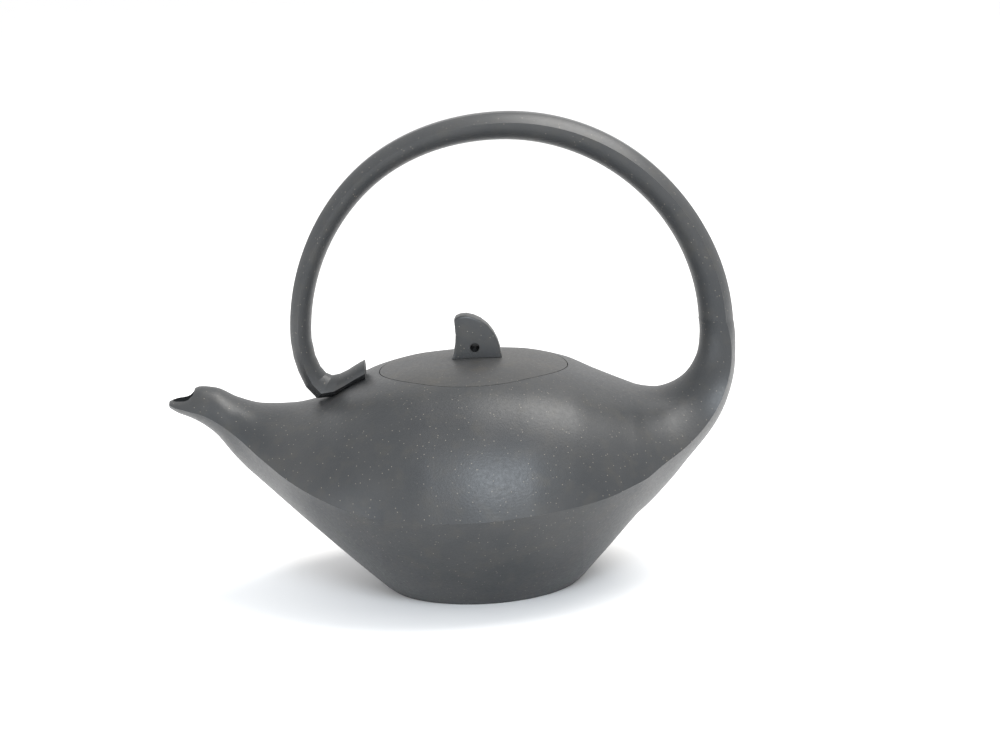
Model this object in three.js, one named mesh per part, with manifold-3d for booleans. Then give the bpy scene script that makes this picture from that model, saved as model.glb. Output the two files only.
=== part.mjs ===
// An overhead-handled clay teapot, in millimetres, +Z up.
// X runs from the spout (-X) to the handle (+X). The origin is the foot's centre on the table.
import * as THREE from "three";
import { mergeVertices } from "three/addons/utils/BufferGeometryUtils.js";
import Module from "manifold-3d";

const wasm = await Module();
wasm.setup();

// Driving dimensions
const footRadius = 31.8;
const footDiscRadius = 28.7;
const footDiscHeight = 3.2;
const wall = 3.2;
const spoutWall = 2;
const mouthRadius = 31;
const ringRadius = 27.8;
const ringReach = 3.2;
const ringHeight = 3;
const flangeWall = 2.2;
const flangeDepth = 7;
const clearance = 0.3;
const spoutSlope = Math.tan(THREE.MathUtils.degToRad(43.5));
const handleSlope = Math.tan(THREE.MathUtils.degToRad(47));
const spoutJointX = -66;
const handleJointX = 52;
const cavityEndX = 46;
const apexHeight = 75.2;
const bodyHalfWidth = 60;
const creaseHeight = 34.3;
const hoopCentreX = 13.2;
const hoopCentreZ = 84;
const rootPivotX = handleJointX + clearance;
const knobThickness = 6.6;
const knobBevel = 0.6;
const ventRadius = 1.55;
const ventX = 0.8;
const ventZ = apexHeight + 3.4;
const strainerX = -63;
const strainerThickness = 2;
const strainerHoleRadius = 1.5;
const strainerPitch = 4.6;
const strainerRings = 2;
const strainerZ = 47;
const tailHalfWidth = 6.4;
const tailBevel = 0.3;

// Section resolution
const archSteps = 12;
const sideSteps = 4;
const archEnd = THREE.MathUtils.degToRad(68);
const flatAcross = 3;
const flatAlong = 2.26;

const clay = (color, roughness) => new THREE.MeshStandardMaterial({ color, roughness, metalness: 0 });

// Solids from three.js geometry, and back
function solidOf(geometry) {
  const bare = geometry.clone();
  bare.deleteAttribute("normal");
  bare.deleteAttribute("uv");
  const merged = mergeVertices(bare, 1e-4);
  const mesh = new wasm.Mesh({
    numProp: 3,
    vertProperties: new Float32Array(merged.attributes.position.array),
    triVerts: new Uint32Array(merged.index.array),
  });
  return new wasm.Manifold(mesh);
}

function meshOf(name, solid, material) {
  const { vertProperties, triVerts } = solid.getMesh();
  const geometry = new THREE.BufferGeometry();
  geometry.setAttribute("position", new THREE.BufferAttribute(vertProperties, 3));
  geometry.setIndex(new THREE.BufferAttribute(triVerts, 1));
  geometry.computeVertexNormals();
  const mesh = new THREE.Mesh(geometry, material);
  mesh.name = name;
  return mesh;
}

const lerp = THREE.MathUtils.lerp;

// A smooth value along keyed rows: rows are [key, value, value, ...]
function sampler(rows) {
  const curves = rows[0].slice(1).map((_, column) => {
    const points = rows.map((row) => new THREE.Vector2(row[0], row[column + 1]));
    return points;
  });
  return (key) => curves.map((points) => smoothValue(points, key));
}

// Cubic interpolation with slopes limited so that no value overshoots
function smoothValue(points, key) {
  const last = points.length - 1;
  let i = 0;
  while (i < last - 1 && key > points[i + 1].x) i += 1;
  const slope = (k) => {
    if (k === 0) return chord(0);
    if (k === last) return chord(last - 1);
    const before = chord(k - 1);
    const after = chord(k);
    if (before * after <= 0) return 0;
    return (2 * before * after) / (before + after);
  };
  const chord = (k) => (points[k + 1].y - points[k].y) / (points[k + 1].x - points[k].x);
  const span = points[i + 1].x - points[i].x;
  const t = THREE.MathUtils.clamp((key - points[i].x) / span, 0, 1);
  const t2 = t * t;
  const t3 = t2 * t;
  return (
    (2 * t3 - 3 * t2 + 1) * points[i].y +
    (t3 - 2 * t2 + t) * span * slope(i) +
    (3 * t2 - 2 * t3) * points[i + 1].y +
    (t3 - t2) * span * slope(i + 1)
  );
}

// One section: an arch from crease to crease, then the outer or lower side between them,
// which is the slice of a cone between an oval rim and a round foot.
// place(y, h) maps half-width and height within the section's plane to space.
// flatness from 0 to 1 turns the arch from a round one to one with a level top.
function section(top, crease, bottom, halfWidth, halfFlat, place, flatness = 0) {
  const across = 2 / lerp(2, flatAcross, flatness);
  const along = 2 / lerp(2, flatAlong, flatness);
  const endWidth = Math.sin(archEnd) ** across;
  const endRise = Math.cos(archEnd) ** along;
  const points = [];
  for (let i = 0; i <= archSteps; i += 1) {
    const a = lerp(-archEnd, archEnd, i / archSteps);
    const reach = (Math.sign(a) * Math.abs(Math.sin(a)) ** across) / endWidth;
    const rise = (Math.cos(a) ** along - endRise) / (1 - endRise);
    points.push(place(halfWidth * reach, lerp(crease, top, rise)));
  }
  const side = [];
  for (let i = 1; i <= sideSteps; i += 1) {
    const s = Math.sin((Math.PI / 2) * (i / sideSteps));
    const y = Math.sqrt(lerp(halfWidth ** 2, halfFlat ** 2, s));
    side.push([y, lerp(crease, bottom, s)]);
  }
  side.forEach(([y, h]) => points.push(place(y, h)));
  side.reverse().forEach(([y, h]) => points.push(place(-y, h)));
  return points;
}

// A closed skin over sections that have the same number of points
function loft(sections) {
  const count = sections[0].length;
  const positions = [];
  const indices = [];
  sections.forEach((points) => points.forEach((p) => positions.push(p.x, p.y, p.z)));
  for (let s = 0; s < sections.length - 1; s += 1) {
    for (let i = 0; i < count; i += 1) {
      const a = s * count + i;
      const b = s * count + ((i + 1) % count);
      indices.push(a, b, a + count, b, b + count, a + count);
    }
  }
  const cap = (points, first, flip) => {
    const centre = points.reduce((sum, p) => sum.add(p), new THREE.Vector3()).divideScalar(count);
    const hub = positions.length / 3;
    positions.push(centre.x, centre.y, centre.z);
    for (let i = 0; i < count; i += 1) {
      const next = (i + 1) % count;
      if (flip) indices.push(hub, first + i, first + next);
      else indices.push(hub, first + next, first + i);
    }
  };
  cap(sections[0], 0, false);
  cap(sections[sections.length - 1], (sections.length - 1) * count, true);
  const geometry = new THREE.BufferGeometry();
  geometry.setAttribute("position", new THREE.Float32BufferAttribute(positions, 3));
  geometry.setIndex(indices);
  const solid = solidOf(geometry);
  if (solid.volume() > 0) return solid;
  geometry.setIndex(indices.reverse());
  return solidOf(geometry);
}

// Body and spout: rows of [x, top, crease, half-width]
const bodyRows = [
  [-100.3, 65.6, 64.8, 2.6],
  [-98, 66.4, 64.2, 5.4],
  [-94.2, 67.3, 63.4, 7.2],
  [-92.6, 69, 63, 7.9],
  [-90, 70, 62.4, 8.7],
  [-85, 69.3, 60.2, 10.5],
  [-78, 65.6, 55.6, 14.2],
  [-70, 62.9, 49.8, 22],
  [-60, 62.2, 44, 33],
  [-50, 63.6, 39.9, 42],
  [-40, 68.6, 37, 49.5],
  [-30, 72, 35.3, 54.5],
  [-15, 74.6, creaseHeight, bodyHalfWidth - 1.3],
  [0, apexHeight, creaseHeight, bodyHalfWidth],
  [15, 74.4, 35.1, bodyHalfWidth - 1.3],
  [30, 71.2, 36.2, 54.5],
  [40, 67, 37.4, 49.5],
  [52, 62.4, 39.9, 40],
];
const bodyAt = sampler(bodyRows);

// The spout's underside leaves the bowl's straight flank near the beak
const beakUnderside = sampler([
  [-100.3, 63.6],
  [-98, 62],
  [-92.4, 59.4],
  [-86, 54.6],
  [-80, 46.6],
  [-76, (76 - footRadius) * spoutSlope],
]);

function undersideAt(x) {
  const slope = x < 0 ? spoutSlope : handleSlope;
  const flank = Math.max(0, (Math.abs(x) - footRadius) * slope);
  return x < -76 ? beakUnderside(x)[0] : flank;
}

function footHalfChord(x) {
  return Math.sqrt(Math.max(0, footRadius * footRadius - x * x));
}

const leastFlat = 1.2;
const strapFlat = 0.35;

// The shoulder is level round the lid and rounds off towards the spout and the handle
const levelReach = 25;
const roundReach = 60;
const flatnessAt = (x) => 1 - THREE.MathUtils.smoothstep(Math.abs(x), levelReach, roundReach);

function bodySection(x) {
  const [top, crease, halfWidth] = bodyAt(x);
  const flat = Math.max(leastFlat, footHalfChord(x));
  const place = (y, h) => new THREE.Vector3(x, y, h);
  return section(top, crease, undersideAt(x), halfWidth, flat, place, flatnessAt(x));
}

// Stations over the foot follow its round edge, and the rest are evenly spaced
function bodyStations(from, to) {
  const places = new Set([from, to]);
  for (let k = 0; k <= 12; k += 1) places.add(-footRadius * Math.cos((Math.PI * k) / 12));
  for (let x = -100.3; x < -76; x += 1.9) places.add(x);
  for (let x = -74; x < -32; x += 4.5) places.add(x);
  for (let x = 36; x < 60; x += 4) places.add(x);
  return [...places].filter((x) => x >= from && x <= to).sort((a, b) => a - b);
}

const bodyLoft = (from, to) => loft(bodyStations(from, to).map(bodySection));

// The hollow: the same sections, drawn in by the wall
function hollowSection(x, extra) {
  const thick = (x < spoutJointX ? spoutWall : lerp(spoutWall, wall, Math.min(1, (x - spoutJointX) / 12))) + extra;
  const [top, crease, halfWidth] = bodyAt(x);
  const flat = Math.max(leastFlat, footHalfChord(x) - thick);
  const low = undersideAt(x) + thick * (Math.abs(x) > footRadius ? 1.35 : 1);
  const roof = x < -92 ? 72 : top - thick;
  const place = (y, h) => new THREE.Vector3(x, y, h);
  return section(roof, crease + 0.2, low, halfWidth - thick * 1.15, flat, place, flatnessAt(x));
}

const hollowLoft = (from, to, extra = 0) =>
  loft(bodyStations(from, to).map((x) => hollowSection(x, extra)));

// Everything above the crease line, to part the shoulder from the bowl
function aboveCrease() {
  const reach = 2 * bodyHalfWidth;
  const sections = bodyStations(spoutJointX - 1, handleJointX).map((x) => {
    const crease = bodyAt(x)[1];
    return [
      new THREE.Vector3(x, -reach, crease),
      new THREE.Vector3(x, -reach, 2 * apexHeight),
      new THREE.Vector3(x, reach, 2 * apexHeight),
      new THREE.Vector3(x, reach, crease),
    ];
  });
  return loft(sections);
}

// Handle root: sections fan round a pivot from the body's end to the hoop's start.
// Rows are [angle, inner radius, crease radius, outer radius, half-width]
const rootRows = [
  [0, 21.6, 44.1, hoopCentreZ - (handleJointX - footRadius) * handleSlope, 40],
  [10, 22.8, 41.6, 54.6, 31.5],
  [22, 24.2, 40.4, 47.8, 23.5],
  [42, 25, 38.1, 42.1, 14.8],
  [58, 24.4, 35.7, 38.2, 11.2],
  [75, 23, 32.9, 34.9, 9.6],
  [90, 22.1, 30.3, 33.2, 8.8],
];
const rootAt = sampler(rootRows);

function rootSection(degrees) {
  const [inner, crease, outer, halfWidth] = rootAt(degrees);
  const a = THREE.MathUtils.degToRad(degrees);
  const place = (y, r) =>
    new THREE.Vector3(rootPivotX + r * Math.sin(a), y, hoopCentreZ - r * Math.cos(a));
  const flat = lerp(leastFlat, strapFlat * halfWidth, Math.min(1, degrees / 60));
  return section(inner, crease, outer, halfWidth, flat, place);
}

function handleRoot() {
  const sections = [];
  for (let k = 0; k <= 12; k += 1) sections.push(rootSection((90 * k) / 12));
  return loft(sections);
}

// Hoop: rows of [angle, inner radius, outer radius, half-width]
const hoopRows = [
  [0, 61.2, 72.3, 8.8],
  [45, 60.6, 70.4, 7.6],
  [90, 61.8, 70.7, 7],
  [135, 64.8, 72.6, 6.6],
  [180, 65.5, 72.3, tailHalfWidth],
];
const hoopAt = sampler(hoopRows);
const creaseInset = 2.9;
const hoopSteps = 26;

function hoopSection(degrees) {
  const [inner, outer, halfWidth] = hoopAt(degrees);
  const a = THREE.MathUtils.degToRad(degrees);
  const place = (y, r) =>
    new THREE.Vector3(hoopCentreX + r * Math.cos(a), y, hoopCentreZ + r * Math.sin(a));
  return section(inner, outer - creaseInset, outer, halfWidth, strapFlat * halfWidth, place);
}

function handleHoop() {
  const jointAngle = THREE.MathUtils.radToDeg(clearance / hoopRows[0][2]);
  const sections = [];
  for (let k = 0; k <= hoopSteps; k += 1) {
    sections.push(hoopSection(lerp(jointAngle, 180 - jointAngle, k / hoopSteps)));
  }
  return loft(sections);
}

// An outline in the XZ plane, pressed out to both sides of it
function plateOf(shape, thickness, bevel) {
  const points = shape.getPoints(6);
  const outline = points.filter((p, i) => p.distanceTo(points[(i + 1) % points.length]) > 0.01);
  const geometry = new THREE.ExtrudeGeometry(new THREE.Shape(outline), {
    depth: thickness - 2 * bevel,
    bevelEnabled: true,
    bevelThickness: bevel,
    bevelSize: bevel,
    bevelOffset: -bevel,
    bevelSegments: 2,
  });
  geometry.translate(0, 0, bevel - thickness / 2);
  geometry.rotateX(Math.PI / 2);
  return solidOf(geometry);
}

// The tail: the hoop's end bends to the right and lies on the shell
function handleTail() {
  const shape = new THREE.Shape();
  shape.moveTo(-59.1, hoopCentreZ);
  shape.splineThru([new THREE.Vector2(-57.4, 73.7), new THREE.Vector2(-51.8, 62)]);
  shape.lineTo(-37, 62);
  shape.lineTo(-35.4, 70);
  shape.lineTo(-35.6, 75.9);
  shape.splineThru([
    new THREE.Vector2(-41.6, 72.5),
    new THREE.Vector2(-46.4, 71.2),
    new THREE.Vector2(-50.6, 74),
    new THREE.Vector2(-52.3, hoopCentreZ),
  ]);
  shape.closePath();
  const seat = bodyLoft(spoutJointX, handleJointX).translate([0, 0, clearance]);
  const spoutSeat = bodyLoft(-80, spoutJointX).translate([0, 0, clearance]);
  return plateOf(shape, 2 * tailHalfWidth, tailBevel).subtract(seat).subtract(spoutSeat);
}

function uprightCylinder(radius, from, to, sides = 48) {
  const geometry = new THREE.CylinderGeometry(radius, radius, to - from, sides);
  geometry.rotateX(Math.PI / 2);
  geometry.translate(0, 0, (from + to) / 2);
  return solidOf(geometry);
}

function tubeWall(inner, outer, from, to) {
  return uprightCylinder(outer, from, to).subtract(uprightCylinder(inner, from - 1, to + 1));
}

// The vent goes in at the knob's face and turns down through the lid
function vent() {
  const face = new THREE.CylinderGeometry(ventRadius, ventRadius, knobThickness, 16);
  face.translate(ventX, -knobThickness / 2, ventZ);
  const down = uprightCylinder(ventRadius, apexHeight - 12, ventZ, 16).translate([ventX, 0, 0]);
  return solidOf(face).add(down);
}

function knob() {
  const shape = new THREE.Shape();
  const up = (rise) => apexHeight + rise;
  shape.moveTo(-8.2, up(-5.2));
  shape.lineTo(-7.5, up(-1.2));
  shape.splineThru([new THREE.Vector2(-5.6, up(3.8)), new THREE.Vector2(-5.5, up(12.7))]);
  shape.splineThru([
    new THREE.Vector2(-3.3, up(14.1)),
    new THREE.Vector2(0.9, up(13.6)),
    new THREE.Vector2(5.5, up(10.4)),
    new THREE.Vector2(8.3, up(5.6)),
    new THREE.Vector2(9.5, up(-0.2)),
  ]);
  shape.lineTo(9.6, up(-5.2));
  shape.closePath();
  const seat = bodyLoft(-32, 32).translate([0, 0, clearance]);
  return plateOf(shape, knobThickness, knobBevel).subtract(seat).subtract(vent());
}

// The strainer: a pierced wall across the way into the spout
function strainer() {
  const slab = new THREE.BoxGeometry(strainerThickness, 3 * bodyHalfWidth, 3 * apexHeight);
  slab.translate(strainerX, 0, 0);
  let plate = solidOf(slab).intersect(hollowLoft(spoutJointX, cavityEndX, clearance));
  for (let row = -strainerRings; row <= strainerRings; row += 1) {
    const holes = 2 * strainerRings + 1 - Math.abs(row);
    for (let k = 0; k < holes; k += 1) {
      const hole = new THREE.CylinderGeometry(strainerHoleRadius, strainerHoleRadius, 8, 8);
      hole.rotateZ(Math.PI / 2);
      const y = (k - (holes - 1) / 2) * strainerPitch;
      hole.translate(strainerX, y, strainerZ + row * strainerPitch * 0.87);
      plate = plate.subtract(solidOf(hole));
    }
  }
  return plate;
}

function build() {
  const skin = bodyLoft(spoutJointX + clearance, handleJointX);
  const hollow = hollowLoft(spoutJointX - 2, cavityEndX);
  const shell = skin.subtract(hollow);
  const upper = aboveCrease();
  const mouth = uprightCylinder(mouthRadius, creaseHeight + 10, 2 * apexHeight);
  const plug = uprightCylinder(mouthRadius - clearance, creaseHeight + 10, 2 * apexHeight);
  const discHole = uprightCylinder(footDiscRadius + clearance, -1, footDiscHeight + 2);
  const shoulder = shell.intersect(upper).subtract(mouth);
  const lidCap = shell.intersect(upper).intersect(plug).subtract(vent());
  const bowl = shell.subtract(upper).subtract(discHole);
  const foot = uprightCylinder(footDiscRadius, 0, footDiscHeight);
  const spout = bodyLoft(-100.3, spoutJointX).subtract(hollowLoft(-98.9, spoutJointX + 1));

  const roofLayer = hollow.translate([0, 0, -clearance]);
  const ringZone = tubeWall(ringRadius, mouthRadius + ringReach, apexHeight - 18, apexHeight);
  const ring = ringZone.intersect(roofLayer).subtract(hollow.translate([0, 0, -clearance - ringHeight]));
  const flangeOuter = ringRadius - clearance - 0.1;
  const flangeZone = tubeWall(
    flangeOuter - flangeWall,
    flangeOuter,
    apexHeight - wall - flangeDepth - 3,
    apexHeight,
  );
  const flange = flangeZone.intersect(roofLayer);

  const dark = clay(0x55524e, 0.46);
  const warm = clay(0x6b665e, 0.5);
  const inside = clay(0x5f5a53, 0.75);
  const group = new THREE.Group();
  group.add(meshOf("foot_disc", foot, inside.clone()));
  group.add(meshOf("lower_bowl", bowl, dark.clone()));
  group.add(meshOf("shoulder_shell", shoulder, dark.clone()));
  group.add(meshOf("spout", spout, dark.clone()));
  group.add(meshOf("strainer", strainer(), inside.clone()));
  group.add(meshOf("mouth_ring", ring, inside.clone()));
  group.add(meshOf("handle_root", handleRoot(), dark.clone()));
  group.add(meshOf("handle_hoop", handleHoop(), dark.clone()));
  group.add(meshOf("handle_tail", handleTail(), dark.clone()));
  group.add(meshOf("lid_cap", lidCap, warm.clone()));
  group.add(meshOf("lid_flange", flange, inside.clone()));
  group.add(meshOf("knob", knob(), dark.clone()));
  return group;
}

export default build();
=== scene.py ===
import math
import bpy
import bmesh
from mathutils import Matrix, Vector


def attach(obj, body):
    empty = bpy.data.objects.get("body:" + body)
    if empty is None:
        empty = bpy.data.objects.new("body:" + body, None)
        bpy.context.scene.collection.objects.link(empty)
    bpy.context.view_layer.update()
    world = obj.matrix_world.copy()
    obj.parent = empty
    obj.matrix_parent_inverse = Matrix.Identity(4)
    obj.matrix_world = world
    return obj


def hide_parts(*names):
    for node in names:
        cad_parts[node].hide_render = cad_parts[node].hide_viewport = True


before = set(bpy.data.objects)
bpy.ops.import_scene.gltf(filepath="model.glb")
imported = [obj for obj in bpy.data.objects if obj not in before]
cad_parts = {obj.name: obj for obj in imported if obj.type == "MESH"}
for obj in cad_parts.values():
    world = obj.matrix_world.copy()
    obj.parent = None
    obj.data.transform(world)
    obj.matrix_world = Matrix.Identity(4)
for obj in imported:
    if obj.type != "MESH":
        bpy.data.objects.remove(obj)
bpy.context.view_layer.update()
mm = 0.001

# Sizes that several pieces share, in millimetres, the same as the solids have
foot = {"radius": 31.8}
slope = {"spout": math.tan(math.radians(43.5)), "handle": math.tan(math.radians(47))}
shell = {"wall": 3.2, "spoutWall": 2.0, "thickening": 12,
         "beakTip": -100.3, "spoutJoint": -66, "handleJoint": 52}
mouth = {"radius": 31.0, "gap": 0.25}
hoopCentre = {"x": 13.2, "z": 84.0}

# Every cross-section is an arch on two flanks, with a flat across its bottom
arch = {"halfAngle": math.radians(68), "steps": 44, "acrossExtra": 1, "alongExtra": 0.26}
flank = {"steps": 16, "leastFlat": 1.2}
strap = {"creaseInset": 2.9, "flatShare": 0.35}


def smoothRow(rows, key):
    # cubic through the rows, with slopes held so that nothing overshoots
    last = len(rows) - 1
    i = 0
    while i < last - 1 and key > rows[i + 1][0]:
        i += 1
    span = rows[i + 1][0] - rows[i][0]
    t = min(1, max(0, (key - rows[i][0]) / span))

    def chord(k, c):
        return (rows[k + 1][c] - rows[k][c]) / (rows[k + 1][0] - rows[k][0])

    def tangent(k, c):
        if k == 0:
            return chord(0, c)
        if k == last:
            return chord(last - 1, c)
        before, after = chord(k - 1, c), chord(k, c)
        return 0 if before * after <= 0 else 2 * before * after / (before + after)

    return [
        (2 * t**3 - 3 * t**2 + 1) * rows[i][c]
        + (t**3 - 2 * t**2 + t) * span * tangent(i, c)
        + (3 * t**2 - 2 * t**3) * rows[i + 1][c]
        + (t**3 - t**2) * span * tangent(i + 1, c)
        for c in range(1, len(rows[0]))
    ]


def section(top, crease, bottom, halfWidth, halfFlat, place, flatness=0):
    # flatness turns the arch from a round one to one with a level top
    across = 2 / (2 + arch["acrossExtra"] * flatness)
    along = 2 / (2 + arch["alongExtra"] * flatness)
    endWidth = math.sin(arch["halfAngle"]) ** across
    endRise = math.cos(arch["halfAngle"]) ** along
    ring = []
    for i in range(arch["steps"] + 1):
        a = -arch["halfAngle"] + 2 * arch["halfAngle"] * i / arch["steps"]
        reach = math.copysign(abs(math.sin(a)) ** across, a) / endWidth
        rise = (math.cos(a) ** along - endRise) / (1 - endRise)
        ring.append(place(halfWidth * reach, crease + (top - crease) * rise))
    down = []
    for i in range(1, flank["steps"] + 1):
        s = math.sin(math.pi / 2 * i / flank["steps"])
        down.append((math.sqrt(halfWidth**2 * (1 - s) + halfFlat**2 * s), crease + (bottom - crease) * s))
    ring += [place(y, h) for y, h in down]
    ring += [place(-y, h) for y, h in reversed(down)]
    return ring


# Each row is a place along the pot, then the top, the crease and the half-width there
bodyRows = [
    (shell["beakTip"], 65.6, 64.8, 2.6),
    (-98, 66.4, 64.2, 5.4),
    (-94.2, 67.3, 63.4, 7.2),
    (-92.6, 69, 63, 7.9),
    (-90, 70, 62.4, 8.7),
    (-85, 69.3, 60.2, 10.5),
    (-78, 65.6, 55.6, 14.2),
    (-70, 62.9, 49.8, 22),
    (-60, 62.2, 44, 33),
    (-50, 63.6, 39.9, 42),
    (-40, 68.6, 37, 49.5),
    (-30, 72, 35.3, 54.5),
    (-15, 74.6, 34.3, 58.7),
    (0, 75.2, 34.3, 60),
    (15, 74.4, 35.1, 58.7),
    (30, 71.2, 36.2, 54.5),
    (40, 67, 37.4, 49.5),
    (shell["handleJoint"], 62.4, 39.9, 40),
]
# The beak's underside, as far back as the straight slope
slopeStart = -76
beakRows = [
    (shell["beakTip"], 63.6),
    (-98, 62),
    (-92.4, 59.4),
    (-86, 54.6),
    (-80, 46.6),
    (slopeStart, (-slopeStart - foot["radius"]) * slope["spout"]),
]
# The body's top is level as far as the reach, then turns round over the fade
levelTop = {"reach": 25, "fade": 35}
# The hollow is the body's own section drawn in, and towards the tip from openBefore it cuts the beak open
cavity = {"beakEnd": -98.9, "handleEnd": 46, "openBefore": -92, "openTop": 72,
          "slopeShare": 1.35, "widthShare": 1.15, "creaseLift": 0.2}


def undersideAt(x):
    if x < slopeStart:
        return smoothRow(beakRows, x)[0]
    return max(0, (abs(x) - foot["radius"]) * (slope["spout"] if x < 0 else slope["handle"]))


def footChord(x, inset=0):
    return max(flank["leastFlat"], math.sqrt(max(0, foot["radius"] ** 2 - x * x)) - inset)


def flatnessAt(x):
    # level near the lid, round towards the spout and the handle
    t = min(1, max(0, (abs(x) - levelTop["reach"]) / levelTop["fade"]))
    return 1 - t * t * (3 - 2 * t)


def wallAt(x):
    share = min(1, max(0, (x - shell["spoutJoint"]) / shell["thickening"]))
    return shell["spoutWall"] + (shell["wall"] - shell["spoutWall"]) * share


def bodyRing(x, inset=0):
    top, crease, halfWidth = smoothRow(bodyRows, x)
    low = undersideAt(x)
    if inset:
        low += inset * (cavity["slopeShare"] if abs(x) > foot["radius"] else 1)
        top = cavity["openTop"] if x < cavity["openBefore"] else top - inset
        crease += cavity["creaseLift"]
        halfWidth -= inset * cavity["widthShare"]

    def place(y, h):
        return Vector((x, y, h)) * mm

    return section(top, crease, low, halfWidth, footChord(x, inset), place, flatnessAt(x))


# The root turns up from the body to the hoop, and its flat is at full width by flatBy degrees
root = {"pivot": 52.2, "start": 2, "end": 90, "step": 2.2, "flatBy": 60}
# Degrees round the root's pivot, then inner, crease and outer radius and half-width
rootRows = [
    (0, 21.6, 44.1, hoopCentre["z"] - (shell["handleJoint"] - foot["radius"]) * slope["handle"], 40),
    (10, 22.8, 41.6, 54.6, 31.5),
    (22, 24.2, 40.4, 47.8, 23.5),
    (42, 25, 38.1, 42.1, 14.8),
    (58, 24.4, 35.7, 38.2, 11.2),
    (75, 23, 32.9, 34.9, 9.6),
    (90, 22.1, 30.3, 33.2, 8.8),
]


def rootRing(degrees):
    inner, crease, outer, halfWidth = smoothRow(rootRows, degrees)
    a = math.radians(degrees)
    grown = strap["flatShare"] * halfWidth - flank["leastFlat"]
    flat = flank["leastFlat"] + grown * min(1, degrees / root["flatBy"])

    def place(y, r):
        return Vector((root["pivot"] + r * math.sin(a), y, hoopCentre["z"] - r * math.cos(a))) * mm

    return section(inner, crease, outer, halfWidth, flat, place)


# The hoop starts a little inside the root's end, so that the two join
hoop = {"start": -0.4, "end": 180, "step": 1.6}
# Degrees round the hoop's centre, then inner and outer radius and half-width
hoopRows = [
    (0, 61.2, 72.3, 8.8),
    (45, 60.6, 70.4, 7.6),
    (90, 61.8, 70.7, 7),
    (135, 64.8, 72.6, 6.6),
    (180, 65.5, 72.3, 6.4),
]


def strapSection(inner, outer, halfWidth, place):
    crease = outer - strap["creaseInset"]
    return section(inner, crease, outer, halfWidth, strap["flatShare"] * halfWidth, place)


def hoopRing(degrees):
    inner, outer, halfWidth = smoothRow(hoopRows, degrees)
    a = math.radians(degrees)

    def place(y, r):
        return Vector((hoopCentre["x"] + r * math.cos(a), y, hoopCentre["z"] + r * math.sin(a))) * mm

    return strapSection(inner, outer, halfWidth, place)


# The tail: inner point, outer point and half-width where the hoop's end turns onto the shell
tailRows = [
    ((-51.5, 78.4), (-58.5, 78.4), 6.4),
    ((-50.0, 74.4), (-57.3, 73.7), 6.4),
    ((-48.3, 72.2), (-55.2, 68.4), 6.4),
    ((-46.4, 71.3), (-51.8, 64.4), 6.5),
    ((-43.8, 71.7), (-47.0, 64.6), 6.6),
    ((-41.2, 72.8), (-42.9, 66.2), 6.7),
    ((-38.4, 74.4), (-39.1, 68.0), 6.8),
    ((-35.5, 75.9), (-35.4, 69.6), 6.8),
]


def tailRing(inner, outer, halfWidth):
    way = Vector((outer[0] - inner[0], 0, outer[1] - inner[1]))
    deep = way.length
    way.normalize()

    def place(y, r):
        return (Vector((inner[0], 0, inner[1])) + way * r + Vector((0, y, 0))) * mm

    return strapSection(0, deep, halfWidth, place)


def finishMesh(bm, name):
    bmesh.ops.recalc_face_normals(bm, faces=bm.faces)
    mesh = bpy.data.meshes.new(name)
    bm.to_mesh(mesh)
    bm.free()
    obj = bpy.data.objects.new(name, mesh)
    bpy.context.scene.collection.objects.link(obj)
    return obj


def loft(name, rings):
    # rings of points, bridged one to the next and closed at both ends
    bm = bmesh.new()
    loops = []
    for ring in rings:
        verts = [bm.verts.new(p) for p in ring]
        loops.append([bm.edges.new((a, b)) for a, b in zip(verts, verts[1:] + verts[:1])])
    for a, b in zip(loops, loops[1:]):
        bmesh.ops.bridge_loops(bm, edges=a + b)
    bmesh.ops.edgeloop_fill(bm, edges=loops[0])
    bmesh.ops.edgeloop_fill(bm, edges=loops[-1])
    return finishMesh(bm, name)


def combine(base, other, operation):
    mod = base.modifiers.new("combine", "BOOLEAN")
    mod.object = other
    mod.operation = operation
    mod.solver = "EXACT"
    bpy.context.view_layer.update()
    done = bpy.data.meshes.new_from_object(base.evaluated_get(bpy.context.evaluated_depsgraph_get()))
    base.modifiers.clear()
    base.data = done
    bpy.data.objects.remove(other)


def cylinder(name, radius, low, high, sides=192):
    bm = bmesh.new()
    bmesh.ops.create_cone(bm, cap_ends=True, segments=sides, radius1=radius * mm, radius2=radius * mm,
                          depth=(high - low) * mm)
    bmesh.ops.translate(bm, verts=bm.verts, vec=(0, 0, (low + high) / 2 * mm))
    return finishMesh(bm, name)


def smooth(obj, sharpFrom=14):
    for polygon in obj.data.polygons:
        polygon.use_smooth = True
    obj.data.set_sharp_from_angle(angle=math.radians(sharpFrom))


def spread(low, high, step):
    # even places from low to high, as near to a step apart as fits
    count = max(1, round((high - low) / step))
    return [low + (high - low) * i / count for i in range(count + 1)]


def bodyPlaces(low, high, step=1.1, edgeSteps=40):
    # closer together where the foot's round edge turns
    edge = [-foot["radius"] * math.cos(math.pi * k / edgeSteps) for k in range(edgeSteps + 1)]
    return sorted({x for x in spread(low, high, step) + edge if low <= x <= high})


def hollow():
    places = bodyPlaces(cavity["beakEnd"], cavity["handleEnd"])
    return loft("hollow", [bodyRing(x, wallAt(x)) for x in places])


# Cutters for the mouth and the lid run from inside the hollow to above the shell
cutter = {"mouthLow": 45, "plugLow": 52, "high": 92}


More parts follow.
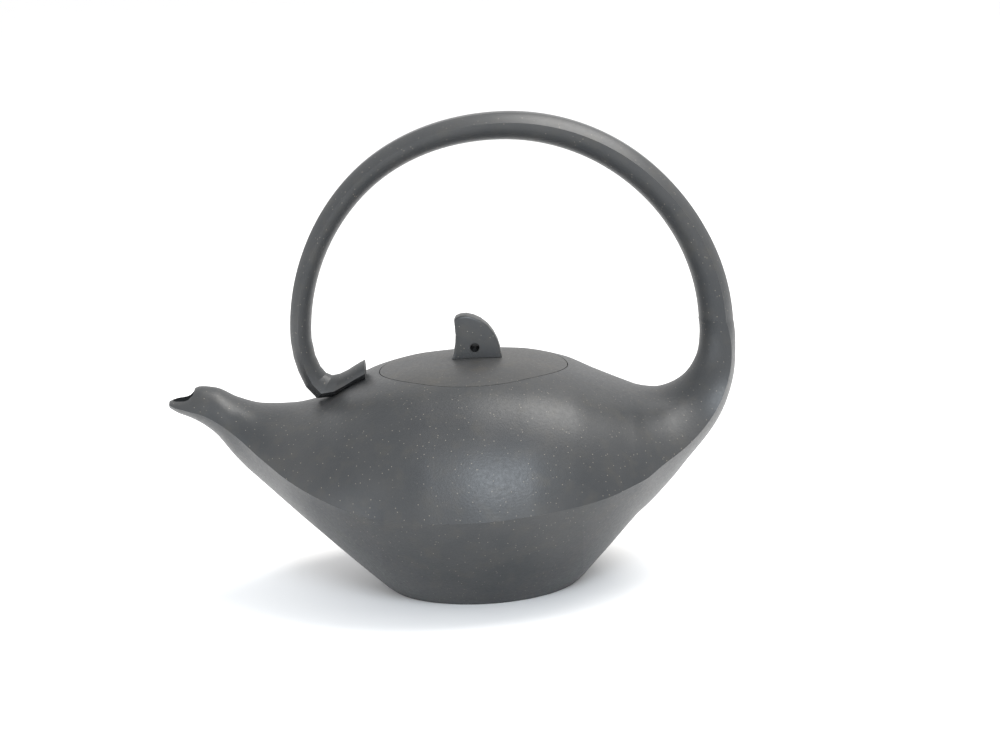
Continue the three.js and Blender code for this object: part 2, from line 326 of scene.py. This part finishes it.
def potSkin():
    rings = [bodyRing(x) for x in bodyPlaces(shell["beakTip"], shell["handleJoint"])]
    rings += [rootRing(a) for a in spread(root["start"], root["end"], root["step"])]
    pot = loft("potSkin", rings)
    hoopRings = [hoopRing(a) for a in spread(hoop["start"], hoop["end"], hoop["step"])]
    hoopRings += [tailRing(*row) for row in tailRows]
    combine(pot, loft("handle", hoopRings), "UNION")
    combine(pot, hollow(), "DIFFERENCE")
    combine(pot, cylinder("mouthCut", mouth["radius"], cutter["mouthLow"], cutter["high"]), "DIFFERENCE")
    smooth(pot)
    return pot


# The lid is cut from the body's own loft, so its surface runs on across the seam
lidBlank = {"reach": 36}
# The knob stands on the lid with a hair's gap under it, as the lid's mesh stays apart from it
knob = {"thickness": 6.6, "rim": 0.9, "rimSteps": 4, "seatGap": 0.1, "sharpFrom": 24}
# The knob's face, from its left foot round to the right one
knobOutline = [
    (-8.0, 71), (-7.4, 74.2), (-6.3, 76.5), (-5.6, 79.5), (-5.3, 83), (-5.5, 87.6),
    (-4.9, 88.7), (-3.3, 89.3), (-1.4, 89.4), (0.9, 88.8), (3.2, 87.6), (5.5, 85.6),
    (7.2, 83.2), (8.4, 80.6), (9.1, 78), (9.5, 75), (9.6, 71),
]
vent = {"x": 0.8, "z": 78.6, "radius": 1.55, "lowEnd": 62, "sides": 40}


def ventCutter():
    # in from the knob's face, then straight down through the lid
    bm = bmesh.new()
    bmesh.ops.create_cone(bm, cap_ends=True, segments=vent["sides"], radius1=vent["radius"] * mm,
                          radius2=vent["radius"] * mm, depth=knob["thickness"] * mm)
    bmesh.ops.rotate(bm, verts=bm.verts, matrix=Matrix.Rotation(math.pi / 2, 3, "X"))
    middle = (vent["x"] * mm, -knob["thickness"] / 2 * mm, vent["z"] * mm)
    bmesh.ops.translate(bm, verts=bm.verts, vec=middle)
    across = finishMesh(bm, "ventAcross")
    down = cylinder("ventDown", vent["radius"], vent["lowEnd"], vent["z"], vent["sides"])
    down.data.transform(Matrix.Translation((vent["x"] * mm, 0, 0)))
    combine(across, down, "UNION")
    return across


def lidLoft(name):
    return loft(name, [bodyRing(x) for x in bodyPlaces(-lidBlank["reach"], lidBlank["reach"])])


def lidSkin():
    lid = lidLoft("lidSkin")
    plug = cylinder("plug", mouth["radius"] - mouth["gap"], cutter["plugLow"], cutter["high"])
    combine(lid, plug, "INTERSECT")
    combine(lid, hollow(), "DIFFERENCE")
    combine(lid, ventCutter(), "DIFFERENCE")
    smooth(lid)
    return lid


def knobFin():
    bm = bmesh.new()
    face = bm.faces.new([bm.verts.new(Vector((x, 0, z)) * mm) for x, z in knobOutline])
    grown = bmesh.ops.extrude_face_region(bm, geom=[face])
    moved = [g for g in grown["geom"] if isinstance(g, bmesh.types.BMVert)]
    bmesh.ops.translate(bm, verts=moved, vec=(0, -knob["thickness"] * mm, 0))
    bmesh.ops.translate(bm, verts=bm.verts, vec=(0, knob["thickness"] / 2 * mm, 0))
    # only the edges round the front and the back face are rounded
    sameDepth = 1e-6
    rim = [e for e in bm.edges if abs(e.verts[0].co.y - e.verts[1].co.y) < sameDepth]
    bmesh.ops.bevel(bm, geom=rim, offset=knob["rim"] * mm, affect="EDGES", segments=knob["rimSteps"],
                    profile=0.5, material=-1, clamp_overlap=True)
    fin = finishMesh(bm, "knobFin")
    seat = lidLoft("seat")
    seat.data.transform(Matrix.Translation((0, 0, knob["seatGap"] * mm)))
    combine(fin, seat, "DIFFERENCE")
    combine(fin, ventCutter(), "DIFFERENCE")
    smooth(fin, knob["sharpFrom"])
    return fin


# The clays' colours, as linear values
clay = {
    "dark": (0.031, 0.032, 0.033),
    "deep": (0.022, 0.024, 0.026),
    "speck": (0.19, 0.17, 0.14),
    "lid": (0.038, 0.037, 0.035),
    "inside": (0.085, 0.075, 0.066),
}
# The clays' patterns: a scale is a number of features to the metre
mottle = {"scale": 60, "detail": 5, "low": 0.35, "high": 0.65}
warmth = {"scale": 190, "detail": 2, "low": 0.5, "high": 0.75, "share": 0.35, "tint": (1.5, 1.35, 1.1)}
specks = {"scale": 620, "core": 0.07, "edge": 0.13}
sheen = {"scale": 900, "detail": 3, "low": 0.3, "high": 0.7, "less": 0.03, "more": 0.05}
grain = {"scale": 1400, "detail": 4, "strength": 0.22, "height": 0.0002}
# Where a Mix node for colours takes its share and its two colours, and gives its result
mixSocket = {"share": 0, "first": 6, "second": 7, "result": 2}


def clayMaterial(name, base, shade, rough, speckShare=0.75):
    material = bpy.data.materials.new(name)
    material.use_nodes = True
    nodes, links = material.node_tree.nodes, material.node_tree.links
    nodes.clear()
    out = nodes.new("ShaderNodeOutputMaterial")
    shader = nodes.new("ShaderNodeBsdfPrincipled")
    links.new(shader.outputs["BSDF"], out.inputs["Surface"])
    place = nodes.new("ShaderNodeTexCoord").outputs["Object"]

    def noise(pattern):
        node = nodes.new("ShaderNodeTexNoise")
        node.inputs["Scale"].default_value = pattern["scale"]
        node.inputs["Detail"].default_value = pattern["detail"]
        links.new(place, node.inputs["Vector"])
        return node.outputs["Fac"]

    def ramp(source, low, high, start, end):
        node = nodes.new("ShaderNodeMapRange")
        node.inputs["From Min"].default_value = low
        node.inputs["From Max"].default_value = high
        node.inputs["To Min"].default_value = start
        node.inputs["To Max"].default_value = end
        links.new(source, node.inputs["Value"])
        return node.outputs["Result"]

    def mix(share, a, b):
        node = nodes.new("ShaderNodeMix")
        node.data_type = "RGBA"
        links.new(share, node.inputs[mixSocket["share"]])
        for key, value in (("first", a), ("second", b)):
            socket = node.inputs[mixSocket[key]]
            if isinstance(value, tuple):
                socket.default_value = (*value, 1)
            else:
                links.new(value, socket)
        return node.outputs[mixSocket["result"]]

    mottled = mix(ramp(noise(mottle), mottle["low"], mottle["high"], 0, 1), base, shade)
    warm = tuple(channel * more for channel, more in zip(base, warmth["tint"]))
    tinted = mix(ramp(noise(warmth), warmth["low"], warmth["high"], 0, warmth["share"]), mottled, warm)
    cells = nodes.new("ShaderNodeTexVoronoi")
    cells.inputs["Scale"].default_value = specks["scale"]
    links.new(place, cells.inputs["Vector"])
    dots = ramp(cells.outputs["Distance"], specks["core"], specks["edge"], speckShare, 0)
    links.new(mix(dots, tinted, clay["speck"]), shader.inputs["Base Color"])
    dull, bright = rough + sheen["more"], rough - sheen["less"]
    links.new(ramp(noise(sheen), sheen["low"], sheen["high"], bright, dull), shader.inputs["Roughness"])
    bump = nodes.new("ShaderNodeBump")
    bump.inputs["Strength"].default_value = grain["strength"]
    bump.inputs["Distance"].default_value = grain["height"]
    links.new(noise(grain), bump.inputs["Height"])
    links.new(bump.outputs["Normal"], shader.inputs["Normal"])
    return material


darkClay = clayMaterial("darkClay", clay["dark"], clay["deep"], rough=0.40)
lidClay = clayMaterial("lidClay", clay["lid"], clay["dark"], rough=0.46)
innerClay = clayMaterial("innerClay", clay["inside"], clay["dark"], rough=0.68, speckShare=0.35)
print("clays ready")


def piece(obj, material, body, slot, *nodes):
    obj.data.materials.clear()
    obj.data.materials.append(material)
    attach(obj, body)
    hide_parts(*nodes)
    print(obj.name, len(obj.data.polygons), "faces")


piece(potSkin(), darkClay, "pot", "dark_clay",
      "lower_bowl", "shoulder_shell", "spout", "handle_root", "handle_hoop", "handle_tail")
piece(lidSkin(), lidClay, "lid", "lid_clay", "lid_cap")
piece(knobFin(), darkClay, "lid", "dark_clay", "knob")

for node in ("foot_disc", "strainer", "mouth_ring", "lid_flange"):
    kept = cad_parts[node]
    kept.data.materials.clear()
    kept.data.materials.append(innerClay)
print("inner pieces clayed")

studio = {"floorShade": 0.93, "floorRough": 0.7, "floorSize": 4, "skyStrength": 1.06}


def paleFloor():
    material = bpy.data.materials.new("paleFloor")
    material.use_nodes = True
    shader = material.node_tree.nodes["Principled BSDF"]
    shader.inputs["Base Color"].default_value = (*[studio["floorShade"]] * 3, 1)
    shader.inputs["Roughness"].default_value = studio["floorRough"]
    bm = bmesh.new()
    bmesh.ops.create_grid(bm, x_segments=1, y_segments=1, size=studio["floorSize"])
    floor = finishMesh(bm, "floor")
    floor.data.materials.append(material)


def whiteSky():
    world = bpy.data.worlds.new("studio")
    bpy.context.scene.world = world
    world.use_nodes = True
    sky = world.node_tree.nodes["Background"]
    sky.inputs["Color"].default_value = (1, 1, 1, 1)
    sky.inputs["Strength"].default_value = studio["skyStrength"]


def areaLight(name, place, aim, size, power, colour):
    data = bpy.data.lights.new(name, "AREA")
    data.size = size
    data.energy = power
    data.color = colour
    light = bpy.data.objects.new(name, data)
    light.location = place
    light.rotation_euler = (Vector(aim) - Vector(place)).to_track_quat("-Z", "Y").to_euler()
    bpy.context.scene.collection.objects.link(light)


paleFloor()
bpy.context.scene.view_settings.view_transform = "Standard"
whiteSky()
areaLight("frontSoft", place=(0.12, -1.0, 0.7), aim=(0, 0, 0.06),
          size=0.4, power=8, colour=(0.84, 0.92, 1))
areaLight("topSoft", place=(0.45, 0.15, 1.1), aim=(0, 0, 0.05),
          size=0.8, power=14, colour=(1, 0.98, 0.95))
areaLight("leftSoft", place=(-1.0, -0.6, 0.12), aim=(-0.05, 0, 0.08),
          size=0.5, power=3, colour=(0.85, 0.92, 1))
print("studio ready")

# A long lens a little above the table, rolled a few degrees
view = {"place": (0.008536, -0.865308, 0.244425), "pitch": 11.5, "roll": 3.1, "lens": 96.84, "sensor": 36}


def tableCamera():
    pitch, roll = math.radians(view["pitch"]), math.radians(view["roll"])
    forward = Vector((0, math.cos(pitch), -math.sin(pitch)))
    level = Vector((1, 0, 0))
    upright = level.cross(forward)
    right = level * math.cos(roll) - upright * math.sin(roll)
    up = level * math.sin(roll) + upright * math.cos(roll)
    data = bpy.data.cameras.new("camera")
    data.lens = view["lens"]
    data.sensor_width = view["sensor"]
    camera = bpy.data.objects.new("camera", data)
    camera.matrix_world = Matrix((
        (right.x, up.x, -forward.x, view["place"][0]),
        (right.y, up.y, -forward.y, view["place"][1]),
        (right.z, up.z, -forward.z, view["place"][2]),
        (0, 0, 0, 1),
    ))
    bpy.context.scene.collection.objects.link(camera)
    bpy.context.scene.camera = camera


tableCamera()
print("camera ready")
